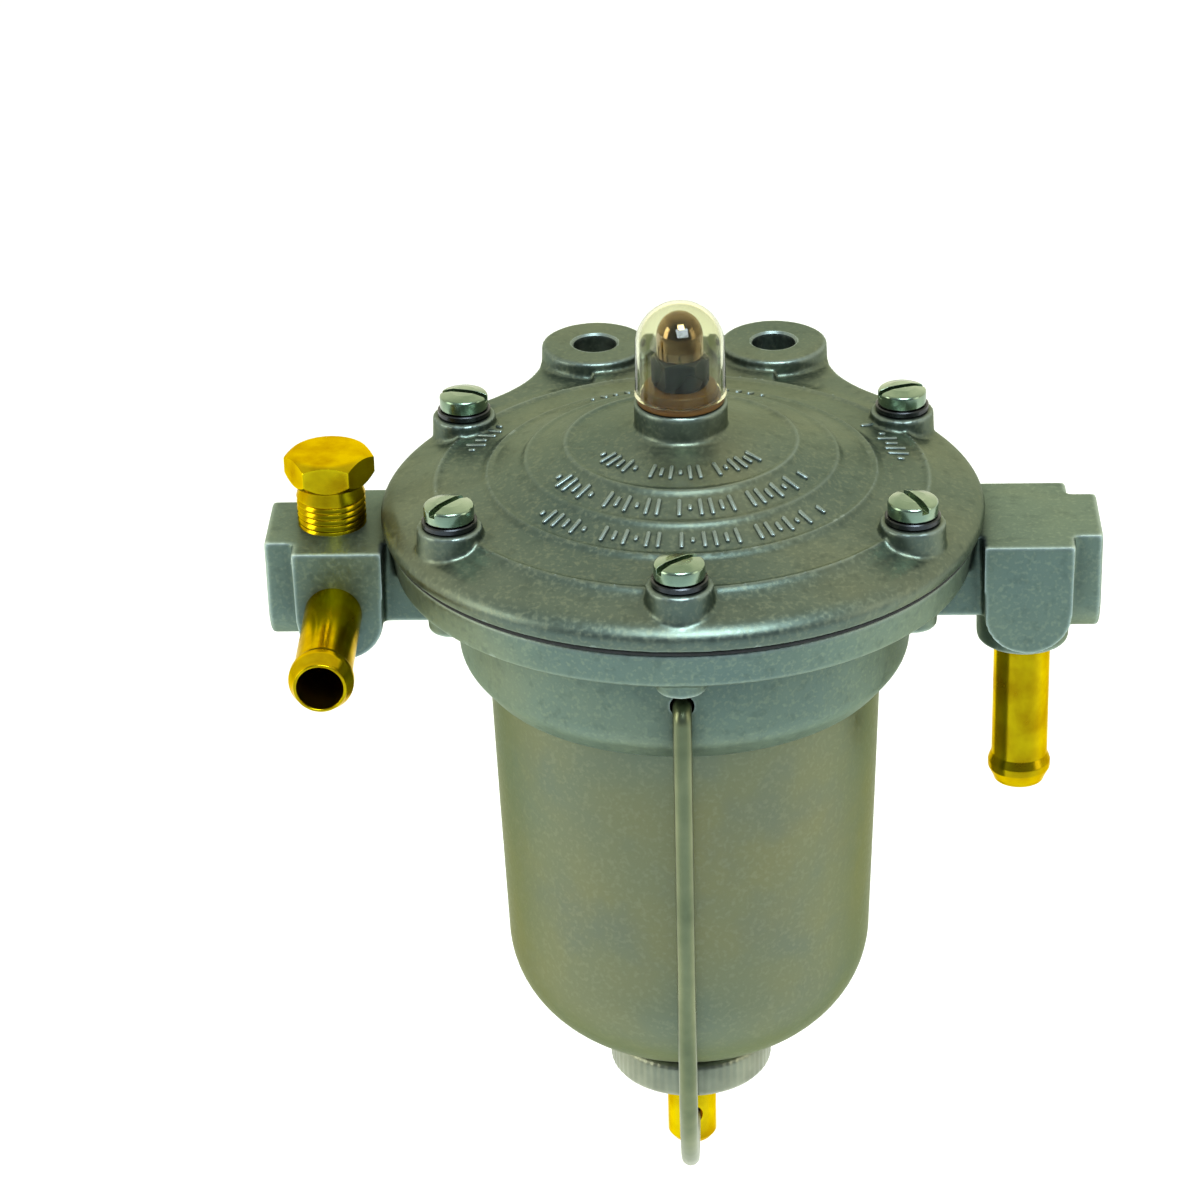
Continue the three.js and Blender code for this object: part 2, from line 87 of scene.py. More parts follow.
def middle(node):
    """The middle of a CAD node's box, in the same millimetres."""
    low, high = in_mm(node)
    return (low + high) / 2


# ---------------------------------------------------------------- sizes, in millimetres
JOINT_FACE = 0.35  # from the diaphragm's middle to the clamping faces of the cover and the body
COVER_R = 42.5
ADJUSTER_BOSS_TOP = 17.8
ADJUSTER_BORE_R = 2.3  # clears the adjusting screw
LUG_X = 13.35  # half the distance between the mounting holes
LUG_Y = -AXIS_Y / MM
LUG_TOP = -JOINT_Z / MM
LUG_UNDERSIDE = 0.95
LUG_R = 8.0
LUG_HOLE_R = 3.25
WEB_UNDERSIDE = 1.55
BLOCK_BOTTOM = -17
BLOCK_HALF_DEPTH = 10.5
INLET_SEAT = -19.4  # the face that the inlet union comes out of
PIVOT_Z = -13.0  # the height of the bail's hooks
PIVOT_HOLE_R = 1.7
BAIL_HOLE_Z = -98.8  # the height of the stud's cross hole


# ---------------------------------------------------------------- studio
CAMERA_PLACE = (0.0076, -0.5592, 0.2447)
CAMERA_TARGET = (-0.0117, -0.0505, -0.0173)
CAMERA_ROLL = -1.54  # degrees
LENS_MM = 122.3
SENSOR_MM = 36
SOFTBOXES = [  # name, place, target, size in metres, watts, colour
    ("key", (0.12, -0.62, 0.80), (0, -0.045, -0.01), (0.5, 0.4), 13.5, (0.76, 0.91, 1.0)),
    ("left", (-0.9, -0.35, 0.25), (0, -0.045, -0.03), (0.4, 0.7), 4.0, (1.0, 1.0, 0.86)),
    ("right", (0.9, -0.35, 0.2), (0, -0.045, -0.03), (0.4, 0.7), 1.4, (1.0, 0.97, 0.80)),
]
SKY = [  # from the dim, bluish front to the bright, warm back
    (0.0, (0.13, 0.18, 0.24)),
    (0.3, (0.28, 0.33, 0.33)),
    (0.55, (0.78, 0.78, 0.60)),
    (1.0, (1.32, 1.27, 0.98)),
]
SKY_STRENGTH = 1.1
FLOOR_HALF = 4.0
FLOOR_DROP = 0.16  # from the part's lowest point down to the floor


# ---------------------------------------------------------------- camera, floor and light
def look(obj, place, target, roll=0.0):
    """Points an object's -Z at the target, turned about its view by roll degrees."""
    forward = (Vector(target) - Vector(place)).normalized()
    level = forward.cross(Vector((0, 0, 1))).normalized()
    upright = level.cross(forward)
    turn = math.radians(roll)
    right = level * math.cos(turn) + upright * math.sin(turn)
    up = right.cross(forward)
    axes = Matrix((right, up, -forward)).transposed().to_4x4()
    obj.matrix_world = Matrix.Translation(place) @ axes


def add_camera():
    data = bpy.data.cameras.new("camera")
    data.lens = LENS_MM
    data.sensor_width = SENSOR_MM
    camera = bpy.data.objects.new("camera", data)
    bpy.context.scene.collection.objects.link(camera)
    look(camera, CAMERA_PLACE, CAMERA_TARGET, CAMERA_ROLL)
    bpy.context.scene.camera = camera


def add_softbox(name, place, target, size, power, colour):
    data = bpy.data.lights.new(name, "AREA")
    data.shape = "RECTANGLE"
    data.size, data.size_y = size
    data.energy = power
    data.color = colour
    lamp = bpy.data.objects.new(name, data)
    bpy.context.scene.collection.objects.link(lamp)
    look(lamp, place, target)


def set_stops(ramp, stops):
    """Gives a colour ramp node its (position, colour) stops."""
    elements = ramp.color_ramp.elements
    while len(elements) < len(stops):
        elements.new(0.5)
    for element, (position, colour) in zip(elements, stops):
        element.position = position
        element.color = (*colour, 1)


def add_world():
    """A sky that changes along Y only."""
    world = bpy.data.worlds.new("studio")
    world.use_nodes = True
    tree = world.node_tree
    background = tree.nodes["Background"]
    direction = tree.nodes.new("ShaderNodeTexCoord").outputs["Generated"]
    split = tree.nodes.new("ShaderNodeSeparateXYZ")
    tree.links.new(direction, split.inputs[0])
    ramp = tree.nodes.new("ShaderNodeValToRGB")
    set_stops(ramp, SKY)
    spread = tree.nodes.new("ShaderNodeMapRange")
    spread.inputs["From Min"].default_value = -1
    spread.inputs["From Max"].default_value = 1
    tree.links.new(split.outputs["Y"], spread.inputs["Value"])
    tree.links.new(spread.outputs["Result"], ramp.inputs["Fac"])
    tree.links.new(ramp.outputs["Color"], background.inputs["Color"])
    background.inputs["Strength"].default_value = SKY_STRENGTH
    bpy.context.scene.world = world
    bpy.context.scene.view_settings.view_transform = "Standard"


def add_floor():
    mesh = bpy.data.meshes.new("floor")
    level = cad_box[0][2] - FLOOR_DROP
    sides = ((-1, -1), (1, -1), (1, 1), (-1, 1))
    corners = [(x * FLOOR_HALF, y * FLOOR_HALF, level) for x, y in sides]
    mesh.from_pydata(corners, [], [(0, 1, 2, 3)])
    floor = bpy.data.objects.new("floor", mesh)
    bpy.context.scene.collection.objects.link(floor)
    floor.data.materials.append(backdrop())


# ---------------------------------------------------------------- materials
MIX_A, MIX_B, MIX_OUT = 6, 7, 2  # the places of a Mix node's colour sockets


class Graph:
    """A Principled material and the few nodes that vary it."""

    def __init__(self, name, **constants):
        self.material = bpy.data.materials.new(name)
        self.material.use_nodes = True
        self.tree = self.material.node_tree
        self.shader = self.tree.nodes["Principled BSDF"]
        for key, value in constants.items():
            self.shader.inputs[key.replace("_", " ")].default_value = value
        self.place = self.node("ShaderNodeTexCoord").outputs["Object"]

    def node(self, kind, **settings):
        made = self.tree.nodes.new(kind)
        for key, value in settings.items():
            setattr(made, key, value)
        return made

    def link(self, source, target):
        self.tree.links.new(source, target)

    def noise(self, scale, detail=3.0, stretch=(1, 1, 1)):
        """Noise from 0 to 1 with so many grains to the metre."""
        mapping = self.node("ShaderNodeMapping")
        mapping.inputs["Scale"].default_value = stretch
        self.link(self.place, mapping.inputs["Vector"])
        made = self.node("ShaderNodeTexNoise")
        made.inputs["Scale"].default_value = scale
        made.inputs["Detail"].default_value = detail
        self.link(mapping.outputs["Vector"], made.inputs["Vector"])
        return made.outputs["Fac"]

    def ramp(self, source, stops):
        """A colour ramp through (position, colour) stops."""
        made = self.node("ShaderNodeValToRGB")
        set_stops(made, stops)
        self.link(source, made.inputs["Fac"])
        return made.outputs["Color"]

    def spread(self, source, low, high, start=0.3, end=0.7):
        """Maps the source's start..end onto low..high."""
        made = self.node("ShaderNodeMapRange")
        for key, value in (("From Min", start), ("From Max", end), ("To Min", low), ("To Max", high)):
            made.inputs[key].default_value = value
        self.link(source, made.inputs["Value"])
        return made.outputs["Result"]

    def mix(self, factor, first, second):
        """Goes from the first colour to the second; a colour is a socket or a tuple."""
        made = self.node("ShaderNodeMix", data_type="RGBA")
        self.link(factor, made.inputs["Factor"])
        for value, socket in ((first, made.inputs[MIX_A]), (second, made.inputs[MIX_B])):
            if isinstance(value, tuple):
                socket.default_value = (*value, 1)
            else:
                self.link(value, socket)
        return made.outputs[MIX_OUT]

    def wear_and_highlight_edges(self, start=0.505, end=0.56, reach_mm=0.9):
        """0 on flat and hollow places, 1 on sharp outside edges: a mask for edge wear and for a painted
        highlight along the edges.
        """
        geometry = self.node("ShaderNodeNewGeometry")
        outside = self.spread(geometry.outputs["Pointiness"], 0.0, 1.0, start, end)
        bevel = self.node("ShaderNodeBevel", samples=4)
        bevel.inputs["Radius"].default_value = reach_mm * MM
        facing = self.node("ShaderNodeVectorMath", operation="DOT_PRODUCT")
        self.link(bevel.outputs["Normal"], facing.inputs[0])
        self.link(geometry.outputs["Normal"], facing.inputs[1])
        bent = self.spread(facing.outputs["Value"], 0.0, 1.0, 0.999, 0.975)
        both = self.node("ShaderNodeMath", operation="MULTIPLY")
        self.link(outside, both.inputs[0])
        self.link(bent, both.inputs[1])
        return both.outputs["Value"]

    def painted_shade(self, colour, reach_mm=9, darkest=0.35):
        """Paints shade into a colour: darkens it in corners and under overhangs, found by ambient
        occlusion.
        """
        shelter = self.node("ShaderNodeAmbientOcclusion", samples=8)
        shelter.inputs["Distance"].default_value = reach_mm * MM
        shade_of = self.spread(shelter.outputs["AO"], 1.0, 0.0, 0.25, 0.95)
        dimmed = self.node("ShaderNodeMix", data_type="RGBA", blend_type="MULTIPLY")
        self.link(shade_of, dimmed.inputs["Factor"])
        self.link(colour, dimmed.inputs[MIX_A])
        dimmed.inputs[MIX_B].default_value = (darkest, darkest, darkest, 1)
        return dimmed.outputs[MIX_OUT]

    def bump(self, source, height_mm, strength=1.0):
        """Adds relief on top of any that is there already."""
        made = self.node("ShaderNodeBump")
        made.inputs["Distance"].default_value = height_mm * MM
        made.inputs["Strength"].default_value = strength
        self.link(source, made.inputs["Height"])
        previous = self.shader.inputs["Normal"]
        if previous.is_linked:
            self.link(previous.links[0].from_socket, made.inputs["Normal"])
        self.link(made.outputs["Normal"], previous)

    def colour(self, source):
        self.link(source, self.shader.inputs["Base Color"])

    def roughness(self, source):
        self.link(source, self.shader.inputs["Roughness"])


def backdrop():
    """Studio paper: white under and behind the part, a little greyer in front of it."""
    graph = Graph("backdrop_paper", Emission_Strength=0.22, Emission_Color=(1, 1, 1, 1))
    split = graph.node("ShaderNodeSeparateXYZ")
    graph.link(graph.place, split.inputs[0])
    forward = graph.spread(split.outputs["Y"], 0.0, 1.0, -0.4, 0.0)
    graph.colour(graph.ramp(forward, [(0.0, (0.42, 0.50, 0.57)), (1.0, (0.96, 0.96, 0.95))]))
    graph.roughness(graph.spread(graph.noise(300), 0.85, 0.95))
    return graph.material


def cast_skin(name, dark, middle_tone, light, wear_and_highlight_colour, rough, grain_mm):
    """Die-cast alloy under a thin passivated skin: slow colour drift, a fine pitted grain, edges brightened
    by wear and a painted highlight, and painted shade in corners and under overhangs.
    """
    graph = Graph(name, Metallic=0.9, Specular_Tint=(0.6, 0.64, 0.52, 1))
    drift = graph.noise(34, detail=5)
    stain = graph.noise(140, detail=6)
    grain = graph.noise(1500, detail=4)
    pits = graph.noise(520, detail=2)
    skin = graph.ramp(drift, [(0.32, dark), (0.5, middle_tone), (0.7, light)])
    stain_colour = tuple(0.7 * part for part in dark)
    stained = graph.mix(graph.spread(stain, 0.0, 0.35, 0.5, 0.75), skin, stain_colour)
    dust_colour = tuple(1.7 * part for part in light)
    dusted = graph.mix(graph.spread(grain, 0.0, 0.32, 0.5, 0.68), stained, dust_colour)
    pit_colour = tuple(0.55 * part for part in dark)
    pitted = graph.mix(graph.spread(pits, 0.0, 0.3, 0.56, 0.7), dusted, pit_colour)
    # Sharp edges are brightened, partly wear and partly a painted highlight; then painted shade darkens
    # corners and overhangs.
    graph.colour(graph.painted_shade(graph.mix(graph.wear_and_highlight_edges(), pitted, wear_and_highlight_colour)))
    graph.roughness(graph.spread(grain, rough - 0.07, rough + 0.09))
    graph.bump(grain, grain_mm)
    graph.bump(pits, grain_mm * 1.6, 0.6)
    return graph.material


def drawn_skin(name):
    """The bowl: pressed metal with faint draw lines and the same yellow-green skin."""
    green, olive, straw = (0.130, 0.160, 0.122), (0.172, 0.178, 0.104), (0.21, 0.188, 0.084)
    stain_colour, speck_colour = (0.088, 0.128, 0.145), (0.30, 0.31, 0.20)
    graph = Graph(name, Metallic=0.92, Specular_Tint=(0.5, 0.52, 0.36, 1))
    drift = graph.noise(26, detail=4)
    stain = graph.noise(90, detail=6)
    lines = graph.noise(900, detail=3, stretch=(1, 1, 0.06))
    speck = graph.noise(1300, detail=3)
    skin = graph.ramp(drift, [(0.3, green), (0.5, olive), (0.72, straw)])
    stained = graph.mix(graph.spread(stain, 0.0, 0.3, 0.5, 0.75), skin, stain_colour)
    graph.colour(graph.mix(graph.spread(speck, 0.0, 0.24, 0.5, 0.68), stained, speck_colour))
    graph.roughness(graph.spread(speck, 0.3, 0.42))
    graph.bump(lines, 0.006)
    graph.bump(speck, 0.01)
    return graph.material


def turned_metal(name, dark, light, rough, line_mm=0.004, glance=(1.0, 1.0, 1.0)):
    """Bright turned metal: fine tool lines round the piece, faint tarnish, edges brightened by wear and a
    painted highlight.

    glance is the tint of what it reflects at a grazing angle.
    """
    graph = Graph(name, Metallic=1.0, Specular_Tint=(*glance, 1))
    tarnish = graph.noise(220, detail=5)
    lines = graph.noise(2600, detail=2, stretch=(0.04, 0.04, 1))
    base = graph.ramp(tarnish, [(0.3, dark), (0.65, light)])
    # Edge colour: partly wear, partly a painted highlight.
    bright = tuple(min(1.0, 1.15 * part) for part in light)
    graph.colour(graph.mix(graph.wear_and_highlight_edges(0.51, 0.6), base, bright))
    graph.roughness(graph.spread(tarnish, rough + 0.08, rough - 0.03))
    graph.bump(lines, line_mm)
    return graph.material


def soft_stuff(name, dark, light, rough, grain_per_metre, grain_mm):
    """Rubber, fibre or paper: two close colours, dull, with a grain."""
    graph = Graph(name)
    patches = graph.noise(160, detail=5)
    grain = graph.noise(grain_per_metre, detail=4)
    graph.colour(graph.ramp(patches, [(0.35, dark), (0.65, light)]))
    graph.roughness(graph.spread(grain, rough - 0.08, rough + 0.08))
    graph.bump(grain, grain_mm)
    return graph.material


def clear_plastic():
    """The cap's clear moulding, faintly yellow, with a slow ripple."""
    graph = Graph("clear_plastic", IOR=1.3, Transmission_Weight=1.0)
    haze = graph.noise(90, detail=4)
    graph.colour(graph.ramp(haze, [(0.3, (0.80, 0.81, 0.62)), (0.7, (0.87, 0.88, 0.72))]))
    graph.roughness(graph.spread(haze, 0.02, 0.09))
    graph.bump(haze, 0.02)
    return graph.material


MATERIALS = {
    # For the castings the fourth colour is the bright colour of sharp edges: partly wear, partly a painted
    # highlight.
    "cover": cast_skin("cover_alloy", (0.085, 0.118, 0.104), (0.122, 0.152, 0.122), (0.162, 0.175, 0.118),
                       (0.30, 0.36, 0.35), 0.38, 0.012),
    "body": cast_skin("body_alloy", (0.125, 0.176, 0.158), (0.160, 0.212, 0.170), (0.200, 0.234, 0.162),
                      (0.62, 0.72, 0.68), 0.46, 0.02),
    "bowl": drawn_skin("bowl_metal"),
    "brass": turned_metal("brass", (0.36, 0.21, 0.002), (0.58, 0.42, 0.004), 0.2, glance=(1.0, 0.82, 0.35)),
    "zinc": turned_metal("bright_zinc", (0.16, 0.23, 0.16), (0.29, 0.37, 0.27), 0.2),
    "wire": turned_metal("zinc_wire", (0.13, 0.15, 0.085), (0.19, 0.205, 0.115), 0.3),
    "pale_zinc": turned_metal("pale_zinc", (0.19, 0.20, 0.15), (0.26, 0.27, 0.20), 0.36),
    "dark_steel": turned_metal("dark_steel", (0.02, 0.022, 0.024), (0.06, 0.062, 0.066), 0.26),
    # The chrome is coloured a dark copper-brown: a painted reflection of a dim room.
    "chrome": turned_metal("chrome", (0.08, 0.045, 0.022), (0.36, 0.25, 0.16), 0.05, line_mm=0.0005),
    "rubber": soft_stuff("black_rubber", (0.004, 0.004, 0.004), (0.01, 0.01, 0.01), 0.7, 1800, 0.02),
    "fibre": soft_stuff("brown_fibre", (0.085, 0.034, 0.006), (0.18, 0.078, 0.012), 0.42, 2400, 0.015),
    "paper": soft_stuff("filter_paper", (0.60, 0.48, 0.28), (0.72, 0.62, 0.42), 0.85, 3000, 0.03),
    "nylon": soft_stuff("nylon", (0.72, 0.71, 0.66), (0.80, 0.79, 0.74), 0.45, 1200, 0.008),
    "clear": clear_plastic(),
}


# ---------------------------------------------------------------- mesh making
def filleted(corners, steps=4):
    """An outline of (r, z) from corners (r, z) or (r, z, radius), each radius rounded off by an arc."""
    outline = []
    count = len(corners)
    for i, corner in enumerate(corners):
        here = Vector(corner[:2])
        radius = corner[2] if len(corner) > 2 else 0
        if not radius:
            outline.append(tuple(here))
            continue
        back = Vector(corners[i - 1][:2]) - here
        on = Vector(corners[(i + 1) % count][:2]) - here
        half = back.angle(on) / 2
        reach = min(radius / math.tan(half), 0.49 * back.length, 0.49 * on.length)
        radius = reach * math.tan(half)
        centre = here + (back.normalized() + on.normalized()).normalized() * radius / math.sin(half)
        start = here + back.normalized() * reach - centre
        end = here + on.normalized() * reach - centre
        turn = start.angle_signed(end)
        for step in range(steps + 1):
            outline.append(tuple(centre + Matrix.Rotation(-turn * step / steps, 2) @ start))
    return outline


def lathe(bm, outline, sides=96, centre=(0, 0), wobble=None):
    """Adds a closed surface: the outline of (r, z) turned about a vertical axis through centre."""
    rings = []
    for level, (r, z) in enumerate(outline):
        if r < 1e-6:
            rings.append([bm.verts.new((*centre, z))])
            continue
        ring = []
        for i in range(sides):
            a = 2 * math.pi * i / sides
            here = r + (wobble(level, i) if wobble else 0)
            ring.append(bm.verts.new((centre[0] + here * math.cos(a), centre[1] + here * math.sin(a), z)))
        rings.append(ring)
    for below, above in zip(rings, rings[1:] + rings[:1]):
        for i in range(sides):
            j = (i + 1) % sides
            if len(below) == 1 and len(above) == 1:
                break
            if len(below) == 1:
                bm.faces.new((below[0], above[j], above[i]))
            elif len(above) == 1:
                bm.faces.new((below[i], below[j], above[0]))
            else:
                bm.faces.new((below[i], below[j], above[j], above[i]))


def prism(bm, outline, low, high, axis="z"):
    """Adds a closed prism: an outline of two coordinates carried from low to high along the axis."""
    def point(a, b, along):
        return {"x": (along, a, b), "y": (a, along, b), "z": (a, b, along)}[axis]

    start = [bm.verts.new(point(a, b, low)) for a, b in outline]
    end = [bm.verts.new(point(a, b, high)) for a, b in outline]
    bm.faces.new(start)
    bm.faces.new(end[::-1])
    for i in range(len(outline)):
        j = (i + 1) % len(outline)
        bm.faces.new((start[j], start[i], end[i], end[j]))


def tube(bm, path, radius, sides=20):
    """Adds a round closed rod along a path of points."""
    side = Vector((1, 0, 0))
    rings = []
    for i, here in enumerate(path):
        along = (path[min(i + 1, len(path) - 1)] - path[max(i - 1, 0)]).normalized()
        side = (side - along * side.dot(along)).normalized()
        other = along.cross(side)
        angles = [2 * math.pi * k / sides for k in range(sides)]
        points = [here + radius * (side * math.cos(a) + other * math.sin(a)) for a in angles]
        rings.append([bm.verts.new(point) for point in points])
    for near, far in zip(rings, rings[1:]):
        for i in range(sides):
            j = (i + 1) % sides
            bm.faces.new((near[i], near[j], far[j], far[i]))
    bm.faces.new(rings[0][::-1])
    bm.faces.new(rings[-1])


def circle(x, y, r, start=0, end=360, steps=32):
    """Points of an arc about (x, y), angles in degrees; a full circle doesn't repeat its first point."""
    count = steps if end - start == 360 else steps + 1
    angles = [math.radians(start + (end - start) * i / steps) for i in range(count)]
    return [(x + r * math.cos(a), y + r * math.sin(a)) for a in angles]


def quarter(radius, base, rise, degrees):
    """Points (r, z) of a quarter ellipse standing on base, at these angles above it."""
    angles = [math.radians(degree) for degree in degrees]
    return [(radius * math.cos(a), base + rise * math.sin(a)) for a in angles]


def move_mesh(obj, move):
    """Moves a finished object's mesh by a matrix that is in the drawing's millimetres."""
    obj.data.transform(TO_FRAME @ move @ TO_FRAME.inverted())


def shade(bm, sharp=38):
    """Smooth shading with sharp edges where faces meet at more than so many degrees."""
    for face in bm.faces:
        face.smooth = True
    for edge in bm.edges:
        edge.smooth = len(edge.link_faces) < 2 or edge.calc_face_angle() < math.radians(sharp)


def add_object(name, bm, move=None, sharp=38):
    """Makes an object, in the frame's metres, of a mesh in millimetres."""
    bmesh.ops.recalc_face_normals(bm, faces=bm.faces)
    if move:
        bmesh.ops.transform(bm, matrix=move, verts=bm.verts)
    bmesh.ops.transform(bm, matrix=TO_FRAME, verts=bm.verts)
    shade(bm, sharp)
    mesh = bpy.data.meshes.new(name)
    bm.to_mesh(mesh)
    bm.free()
    obj = bpy.data.objects.new(name, mesh)
    bpy.context.scene.collection.objects.link(obj)
    return obj


def bake_modifiers(obj):
    """Applies an object's modifiers to its mesh."""
    graph = bpy.context.evaluated_depsgraph_get()
    made = bpy.data.meshes.new_from_object(obj.evaluated_get(graph))
    obj.modifiers.clear()
    obj.data = made


def cast(obj, voxel_mm, rounds):
    """Melts overlapping shapes into one casting with softened edges and small fillets."""
    remesh = obj.modifiers.new("melt", "REMESH")
    remesh.mode = "VOXEL"
    remesh.voxel_size = voxel_mm * MM
    remesh.use_smooth_shade = True
    smooth = obj.modifiers.new("soften", "SMOOTH")
    smooth.factor = 0.5
    smooth.iterations = rounds
    bake_modifiers(obj)


def combine(obj, tool, operation):
    """Cuts a tool object from obj, or keeps only what they share, and removes the tool."""
    boolean = obj.modifiers.new("cut", "BOOLEAN")
    boolean.operation = operation
    boolean.solver = "EXACT"
    boolean.object = tool
    bake_modifiers(obj)
    bpy.data.objects.remove(tool)
    bm = bmesh.new()
    bm.from_mesh(obj.data)
    shade(bm)
    bm.to_mesh(obj.data)
    bm.free()


def soften(obj, width_mm, angle=35):
    """Rounds off the edges where faces meet at more than so many degrees."""
    bevel = obj.modifiers.new("edges", "BEVEL")
    bevel.width = width_mm * MM
    bevel.segments = 2
    bevel.limit_method = "ANGLE"
    bevel.angle_limit = math.radians(angle)
    bevel.harden_normals = True
    bake_modifiers(obj)


def finish_piece(obj, material, body, slot, *nodes):
    """Gives a piece its material, hangs it on the body it rides on and hides the CAD nodes it stands for.
    """
    obj.data.materials.clear()
    obj.data.materials.append(MATERIALS[material])
    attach(obj, body)
    if nodes:
        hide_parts(*nodes)


def turned_piece(name, outline, material, body, slot, *nodes, centre=(0, 0), sides=96):
    """A piece that is only an outline turned about a vertical axis."""
    bm = bmesh.new()
    lathe(bm, outline, sides, centre)
    finish_piece(add_object(name, bm), material, body, slot, *nodes)


# ---------------------------------------------------------------- the cover
DOME = [  # the cover's top surface, from the adjuster boss out to the rim
    (8.3, 13.4), (16.2, 11.45), (21.75, 9.25), (27.3, 7.15),
    (28.6, 6.65), (34.5, 5.85), (36.2, 5.2), (39.6, 4.15),
]
RINGS = (16.2, 21.75, 27.3, 34.5)
RIDGE = ((-0.75, 0), (-0.4, 0.22), (0, 0.42), (0.4, 0.22), (0.75, 0))  # offset from the ring, rise
SCREWS = [middle(f"cover_screw_{i}") for i in range(1, 7)]
SLOT_ANGLES = (38, -62, 20, 75, -15, 50)
SCREW_BOSS_TOP = in_mm("spring_washer_1")[0].z - 0.05
MARK_BANDS = [  # radius, first and last angle, step, size along the radius, size across
    (12.3, -150, -30, 6.0, 2.9, 0.6),
    (18.95, -152, -28, 4.4, 3.1, 0.65),
    (24.5, -140, -40, 3.6, 2.9, 0.65),
    (31.0, 8, 30, 3.2, 3.2, 0.65),
    (31.0, 148, 166, 3.2, 3.2, 0.65),
    (26.0, 64, 80, 4.0, 2.2, 0.6),
    (26.0, 100, 124, 4.0, 2.2, 0.6),
]
MARK_LENGTHS = (0.35, 1.0, 1.0, 0.62, 1.0)
MARKS_TO_A_GROUP = 7  # the last of each group is left out as a space


def dome_height(r):
    """The cover's top surface at radius r, without its rings."""
    for (r0, z0), (r1, z1) in zip(DOME, DOME[1:]):
        if r0 <= r <= r1:
            return z0 + (z1 - z0) * (r - r0) / (r1 - r0)
    return DOME[0][1]


def dome_outline():
    """The dome's section with a small round ridge at each ring, then back along its inside."""
    outline = [(6.5, ADJUSTER_BOSS_TOP, 0.3), (6.5, 13.9, 0.4), (8.3, 13.35, 0.6)]
    for ring in RINGS:
        for offset, rise in RIDGE:
            outline.append((ring + offset, dome_height(ring + offset) + rise))
    outline += [(36.4, 5.0, 1.0), (40.9, 3.9, 3.4), (COVER_R, 2.3, 1.8), (41.9, JOINT_FACE, 0.3)]
    outline += [(29, JOINT_FACE), (27, 4.2), (20, 6.6), (9.6, 10.2), (8.6, 11.2)]
    outline += [(ADJUSTER_BORE_R, 11.2), (ADJUSTER_BORE_R, ADJUSTER_BOSS_TOP)]
    return filleted(outline)


def add_lugs(bm):
    """Two round pads, with the web that widens from them into the cover and a thicker bridge between."""
    for side in (-1, 1):
        pad = [(0, LUG_UNDERSIDE), (LUG_R, LUG_UNDERSIDE), (LUG_R, 4.6), (7.9, LUG_TOP, 0.4), (0, LUG_TOP)]
        lathe(bm, filleted(pad), 64, (side * LUG_X, LUG_Y))
    root_y, flare, steps = 28, 10, 12
    shares = [i / steps for i in range(steps + 1)]
    sweep = [(LUG_X + LUG_R + flare * (1 - t) ** 2.2, root_y + (LUG_Y - root_y) * t) for t in shares]
    web = sweep + [(-x, y) for x, y in reversed(sweep)]
    prism(bm, web, WEB_UNDERSIDE, 4.5)
    back = in_mm("top_cover")[1].y - 2
    prism(bm, [(-LUG_X, 29), (LUG_X, 29), (LUG_X, back), (-LUG_X, back)], WEB_UNDERSIDE, 5.4)


def cover_holes():
    """What is cut out of the cover: the lug holes, countersunk, and the screw holes."""
    holes = bmesh.new()
    below, above = -1, LUG_TOP + 0.45
    bore = [(0, below), (LUG_HOLE_R, below), (LUG_HOLE_R, LUG_TOP - 0.3)]
    mouth = [(3.55, LUG_TOP), (4.0, above), (0, above)]
    for side in (-1, 1):
        lathe(holes, bore + mouth, 64, (side * LUG_X, LUG_Y))
    for x, y, _ in SCREWS:
        lathe(holes, [(0, below), (2.15, below), (2.15, 9), (0, 9)], 32, (x, y))
    return add_object("holes", holes)


def add_cover():
    bm = bmesh.new()
    lathe(bm, dome_outline(), sides=160)
    for x, y, _ in SCREWS:
        boss = [(0, 1.5), (4.9, 1.5), (4.6, 5.2), (4.5, SCREW_BOSS_TOP, 0.3), (0, SCREW_BOSS_TOP)]
        lathe(bm, filleted(boss), 48, (x, y))
    add_lugs(bm)
    cover = add_object("cover_casting", bm)
    cast(cover, 0.32, 2)
    combine(cover, cover_holes(), "DIFFERENCE")
    finish_piece(cover, "cover", "housing", "cast_alloy", "top_cover")


def add_marks():
    """Raised ticks and dots between the cover's rings, in place of lettering."""
    bm = bmesh.new()
    for radius, first, last, step, length, width in MARK_BANDS:
        count = round((last - first) / step)
        for i in range(count + 1):
            if i % MARKS_TO_A_GROUP == MARKS_TO_A_GROUP - 1:
                continue
            share = MARK_LENGTHS[i % len(MARK_LENGTHS)]
            add_tick(bm, radius, math.radians(first + i * step), length * share, width)
    finish_piece(add_object("cover_marks", bm), "cover", "housing", "cast_alloy")


def add_tick(bm, radius, angle, length, width):
    """One raised tick with rounded ends and sides, lying on the dome."""
    slope = math.atan2(dome_height(radius + 1) - dome_height(radius - 1), 2)
    turn = Matrix.Rotation(angle, 4, "Z") @ Matrix.Translation((radius, 0, dome_height(radius)))
    turn = turn @ Matrix.Rotation(-slope, 4, "Y")
    levels = [(-0.3, 1.0), (0.12, 1.0), (0.26, 0.82), (0.33, 0.5)]  # height, share of the width
    half = length / 2
    ends = [(half - width / 2, -90), (width / 2 - half, 90)]
    rings = []
    for height, share in levels:
        outline = []
        for centre, start in ends:
            outline += circle(centre, 0, width / 2 * share, start, start + 180, 6)
        rings.append([bm.verts.new(turn @ Vector((x, y, height))) for x, y in outline])
    for below, above in zip(rings, rings[1:]):
        for i in range(len(below)):
            j = (i + 1) % len(below)
            bm.faces.new((below[i], below[j], above[j], above[i]))
    bm.faces.new(rings[0][::-1])
    bm.faces.new(rings[-1])


# ---------------------------------------------------------------- the body and the port arms
def u_shape(radius, bottom, top):
    """A flat-topped, round-bottomed section, slightly wider at the top, as (across, z) points."""
    draft = 0.25
    foot = circle(0, bottom + radius, radius, 180, 360, 20)
    return [(-radius - draft, top), *foot, (radius + draft, top)]


